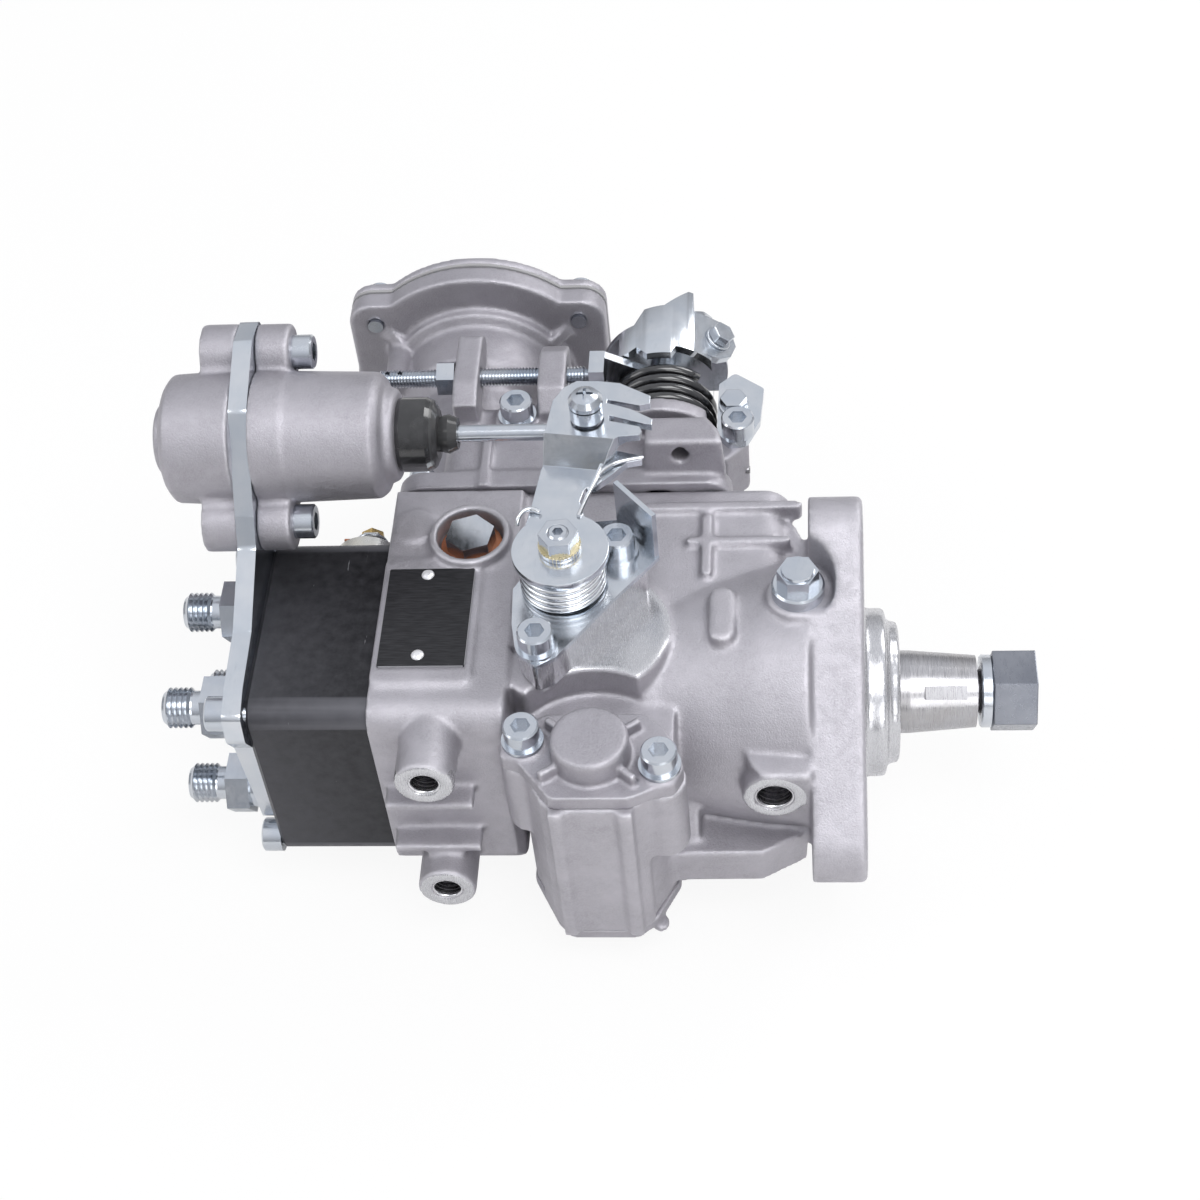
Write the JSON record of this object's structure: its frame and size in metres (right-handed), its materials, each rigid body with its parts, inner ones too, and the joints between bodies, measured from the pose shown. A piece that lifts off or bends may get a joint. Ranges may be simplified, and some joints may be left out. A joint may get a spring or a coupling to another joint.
{
  "type": "diesel distributor injection pump",
  "caption": "Rotary distributor diesel injection pump with flange, tapered drive shaft, black head, cold-start actuator, boost housing and throttle lever.",
  "frame": {"origin": "drive shaft axis at the mounting flange's outer face, inside the pilot", "axes": "+X along the drive shaft towards its nut, +Y towards the boost housing, +Z towards the cold-start lever"},
  "size_m": [0.257, 0.2174, 0.1443],
  "materials": {
    "cast_aluminium": "satin",
    "machined_aluminium": "satin",
    "black_oxide": "satin",
    "zinc": "gloss",
    "steel": "satin",
    "spring_steel": "satin",
    "black_spring": "gloss",
    "rubber": "gloss",
    "bronze": "satin",
    "copper": "satin",
    "solenoid_zinc": "satin",
    "black_plate": "satin"
  },
  "bodies": {
    "housing": {"pump_housing": "cast_aluminium", "governor_cover": "cast_aluminium", "distributor_head": "black_oxide", "delivery_valves": "zinc", "head_plug": "zinc", "barrel_sleeve": "steel", "shutoff_solenoid": "solenoid_zinc", "actuator_bracket": "zinc", "actuator_rear": "cast_aluminium", "actuator_front": "cast_aluminium", "actuator_boot": "rubber", "lever_spring": "zinc", "cold_start_block": "machined_aluminium", "stop_plate": "zinc", "timing_cover": "cast_aluminium", "timing_lower_cover": "cast_aluminium", "timing_spring": "spring_steel", "plunger_springs": "spring_steel", "governor_shaft": "steel", "pump_ring": "steel", "shaft_bush": "bronze", "shaft_seal": "rubber", "throttle_spring": "black_spring", "stop_bracket": "zinc", "speed_screw": "zinc", "boost_housing": "cast_aluminium", "boost_cover": "cast_aluminium", "diaphragm": "rubber", "cap_screws_m6": "zinc", "cap_screws_m5": "zinc", "pivot_plugs": "zinc", "plug_washers": "copper", "name_plate": "black_plate", "inlet_bolt": "zinc"},
    "shaft": {"drive_shaft": "steel", "shaft_key": "steel", "shaft_washer": "zinc", "shaft_nut": "zinc", "drive_gear": "steel", "vane_rotor": "steel"},
    "cam": {"cam_plate": "steel", "plunger": "steel"},
    "collar": {"control_collar": "steel"},
    "governor_lever_body": {"governor_lever": "steel", "governor_spring": "spring_steel"},
    "carrier": {"governor_carrier": "steel", "flyweights": "steel"},
    "sleeve": {"governor_sleeve": "steel"},
    "timing_piston_body": {"timing_piston": "steel"},
    "roller_ring_body": {"roller_ring": "steel", "rollers": "steel", "timing_pin": "steel"},
    "cold_lever": {"cold_start_lever": "zinc", "lever_shaft": "zinc", "lever_nut": "zinc"},
    "push_rod": {"actuator_rod": "zinc"},
    "throttle": {"throttle_shaft": "zinc", "throttle_lever": "zinc"},
    "boost_stem_body": {"boost_stem": "steel"},
    "armature": {"solenoid_armature": "steel"}
  },
  "joints": [
    {"name": "shaft_turn", "type": "hinge", "parent": "housing", "child": "shaft", "pos_m": [0, 0, 0], "axis": [1, 0, 0], "continuous": true},
    {"name": "plunger_stroke", "type": "slide", "parent": "shaft", "child": "cam", "axis": [-1, 0, 0], "range_m": [0, 0.0022]},
    {"name": "carrier_turn", "type": "hinge", "parent": "housing", "child": "carrier", "pos_m": [-0.067, 0.0456, 0], "axis": [1, 0, 0], "continuous": true},
    {"name": "sleeve_slide", "type": "slide", "parent": "housing", "child": "sleeve", "axis": [-1, 0, 0], "range_m": [0, 0.0015]},
    {"name": "governor_lever_turn", "type": "hinge", "parent": "housing", "child": "governor_lever_body", "pos_m": [-0.1157, 0.03, 0], "axis": [0, 0, 1], "range_deg": [0, 5.52]},
    {"name": "collar_slide", "type": "slide", "parent": "housing", "child": "collar", "axis": [1, 0, 0], "range_m": [0, 0.00197]},
    {"name": "timing_slide", "type": "slide", "parent": "housing", "child": "timing_piston_body", "axis": [0, 0, 1], "range_m": [-0.005, 0.006]},
    {"name": "roller_ring_turn", "type": "hinge", "parent": "housing", "child": "roller_ring_body", "pos_m": [-0.0765, 0, 0], "axis": [1, 0, 0], "range_deg": [-7.65, 6.38]},
    {"name": "cold_start_turn", "type": "hinge", "parent": "housing", "child": "cold_lever", "pos_m": [-0.0852, 0.003, 0.0608], "axis": [0, 0, 1], "range_deg": [0, 16.6]},
    {"name": "push_rod_slide", "type": "slide", "parent": "housing", "child": "push_rod", "axis": [-1, 0, 0], "range_m": [0, 0.01241]},
    {"name": "throttle_turn", "type": "hinge", "parent": "housing", "child": "throttle", "pos_m": [-0.0605, 0.1, 0.026], "axis": [0, 1, 0], "range_deg": [0, 45]},
    {"name": "boost_stem_slide", "type": "slide", "parent": "housing", "child": "boost_stem_body", "axis": [0, -1, 0], "range_m": [0, 0.006]},
    {"name": "armature_slide", "type": "slide", "parent": "housing", "child": "armature", "axis": [0, 1, 0], "range_m": [0, 0.002]}
  ],
  "couplings": [
    {"joint": "carrier_turn", "follows": "shaft_turn", "ratio": -1.4},
    {"joint": "governor_lever_turn", "follows": "sleeve_slide", "rad_per_m": 64.103},
    {"joint": "collar_slide", "follows": "sleeve_slide", "ratio": 1.3077},
    {"joint": "roller_ring_turn", "follows": "timing_slide", "rad_per_m": -22.222},
    {"joint": "push_rod_slide", "follows": "cold_start_turn", "m_per_rad": 0.042799}
  ]
}
